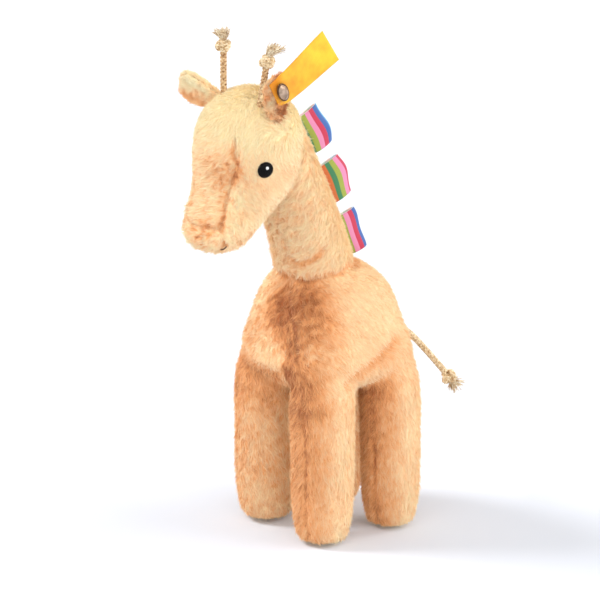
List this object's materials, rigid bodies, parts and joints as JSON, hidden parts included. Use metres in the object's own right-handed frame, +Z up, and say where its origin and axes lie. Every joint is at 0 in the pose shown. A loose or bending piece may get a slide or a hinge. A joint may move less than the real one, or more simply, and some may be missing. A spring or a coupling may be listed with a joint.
{
  "type": "plush giraffe grasp toy",
  "caption": "Standing stuffed giraffe that a baby can grasp, with cord horns and tail, a mane of folded ribbon loops and a riveted cloth ear tag.",
  "frame": {"origin": "floor level, under the middle of the box round the toy without its tail", "axes": "+Z up; the toy faces -Y, so its left side is +X"},
  "size_m": [0.0824, 0.175, 0.2704],
  "materials": {
    "plush": "short curly plush pile, apricot with paler tips",
    "filling": "loose polyester fibre",
    "cord": "braided natural cotton cord",
    "cord_strands": "opened cotton strands",
    "black_thread": "glossy embroidery thread, satin stitch",
    "white_thread": "embroidery thread",
    "ribbon": "woven satin ribbon with lengthwise stripes in many colours",
    "woven_tag": "closely woven golden yellow tape",
    "metal": "aged, worn smooth"
  },
  "bodies": {
    "torso": {"torso_skin": "plush", "torso_filling": "filling"},
    "neck": {"neck_skin": "plush", "neck_filling": "filling"},
    "head": {"head_skin": "plush", "head_filling": "filling", "eye_left": "black_thread", "eye_left_glint": "white_thread", "eye_right": "black_thread", "eye_right_glint": "white_thread", "mouth_stitch": "black_thread"},
    "leg_front_left": {"leg_front_left_skin": "plush", "leg_front_left_filling": "filling"},
    "leg_front_right": {"leg_front_right_skin": "plush", "leg_front_right_filling": "filling"},
    "leg_rear_left": {"leg_rear_left_skin": "plush", "leg_rear_left_filling": "filling"},
    "leg_rear_right": {"leg_rear_right_skin": "plush", "leg_rear_right_filling": "filling"},
    "ear_right": {"ear_right_back": "plush", "ear_right_lining": "plush"},
    "ear_left": {"ear_left_back": "plush", "ear_left_lining": "plush", "rivet_button": "metal", "rivet_washer": "metal"},
    "ear_tag": {"ear_tag": "woven_tag"},
    "horn_right": {"horn_right_cord": "cord", "horn_right_knot": "cord", "horn_right_fray": "cord_strands"},
    "horn_left": {"horn_left_cord": "cord", "horn_left_knot": "cord", "horn_left_fray": "cord_strands"},
    "mane_loop_1": {"mane_loop_1": "ribbon"},
    "mane_loop_2": {"mane_loop_2": "ribbon"},
    "mane_loop_3": {"mane_loop_3": "ribbon"},
    "tail": {"tail_cord": "cord", "tail_knot": "cord", "tail_fray": "cord_strands"}
  },
  "joints": [
    {"name": "neck_bend", "type": "hinge", "parent": "torso", "child": "neck", "pos_m": [0.00162, 0.01759, 0.113], "axis": [1, 0, 0], "range_deg": [-8, 8], "stiffness_Nm_per_rad": 1.2},
    {"name": "head_nod", "type": "hinge", "parent": "neck", "child": "head", "pos_m": [0.00475, -0.02763, 0.2056], "axis": [0.9903, 0.1392, 0], "range_deg": [-8, 8], "stiffness_Nm_per_rad": 0.9},
    {"name": "leg_front_left_swing", "type": "hinge", "parent": "torso", "child": "leg_front_left", "pos_m": [0.02419, 0.00484, 0.0795], "axis": [1, 0, 0], "range_deg": [-8, 8], "stiffness_Nm_per_rad": 0.5},
    {"name": "leg_front_right_swing", "type": "hinge", "parent": "torso", "child": "leg_front_right", "pos_m": [-0.02095, 0.00484, 0.0795], "axis": [1, 0, 0], "range_deg": [-8, 8], "stiffness_Nm_per_rad": 0.5},
    {"name": "leg_rear_left_swing", "type": "hinge", "parent": "torso", "child": "leg_rear_left", "pos_m": [0.02419, 0.04597, 0.0795], "axis": [1, 0, 0], "range_deg": [-8, 8], "stiffness_Nm_per_rad": 0.5},
    {"name": "leg_rear_right_swing", "type": "hinge", "parent": "torso", "child": "leg_rear_right", "pos_m": [-0.02095, 0.04597, 0.0795], "axis": [1, 0, 0], "range_deg": [-8, 8], "stiffness_Nm_per_rad": 0.5},
    {"name": "ear_right_flop", "type": "hinge", "parent": "head", "child": "ear_right", "pos_m": [-0.01388, -0.02803, 0.2275], "axis": [0.2408, 0.0338, 0.97], "range_deg": [-20, 20], "stiffness_Nm_per_rad": 0.02},
    {"name": "ear_left_flop", "type": "hinge", "parent": "head", "child": "ear_left", "pos_m": [0.02448, -0.02435, 0.2275], "axis": [0.1392, -0.9903, 0], "range_deg": [-20, 0], "stiffness_Nm_per_rad": 0.03},
    {"name": "tag_swing", "type": "hinge", "parent": "ear_left", "child": "ear_tag", "pos_m": [0.02591, -0.02415, 0.24394], "axis": [0.9865, 0.1386, -0.0872], "range_deg": [-12, 12], "stiffness_Nm_per_rad": 0.02},
    {"name": "horn_right_bend", "type": "hinge", "parent": "head", "child": "horn_right", "pos_m": [-0.00767, -0.03271, 0.23588], "axis": [0.9903, 0.1392, 0], "range_deg": [-15, 15], "stiffness_Nm_per_rad": 0.02},
    {"name": "horn_left_bend", "type": "hinge", "parent": "head", "child": "horn_left", "pos_m": [0.01808, -0.02909, 0.23588], "axis": [0.9903, 0.1392, 0], "range_deg": [-15, 15], "stiffness_Nm_per_rad": 0.02},
    {"name": "mane_loop_1_flop", "type": "hinge", "parent": "neck", "child": "mane_loop_1", "pos_m": [0.00162, 0.03432, 0.149], "axis": [0, -0.3301, 0.944], "range_deg": [-15, 15], "stiffness_Nm_per_rad": 0.01},
    {"name": "mane_loop_2_flop", "type": "hinge", "parent": "neck", "child": "mane_loop_2", "pos_m": [0.00162, 0.02289, 0.1775], "axis": [0, -0.3946, 0.9189], "range_deg": [-15, 15], "stiffness_Nm_per_rad": 0.01},
    {"name": "mane_loop_3_flop", "type": "hinge", "parent": "neck", "child": "mane_loop_3", "pos_m": [0.00162, 0.01029, 0.206], "axis": [0, -0.4324, 0.9017], "range_deg": [-15, 15], "stiffness_Nm_per_rad": 0.01},
    {"name": "tail_swing", "type": "hinge", "parent": "torso", "child": "tail", "pos_m": [0.00162, 0.06358, 0.0965], "axis": [1, 0, 0], "range_deg": [-15, 15], "stiffness_Nm_per_rad": 0.03}
  ]
}
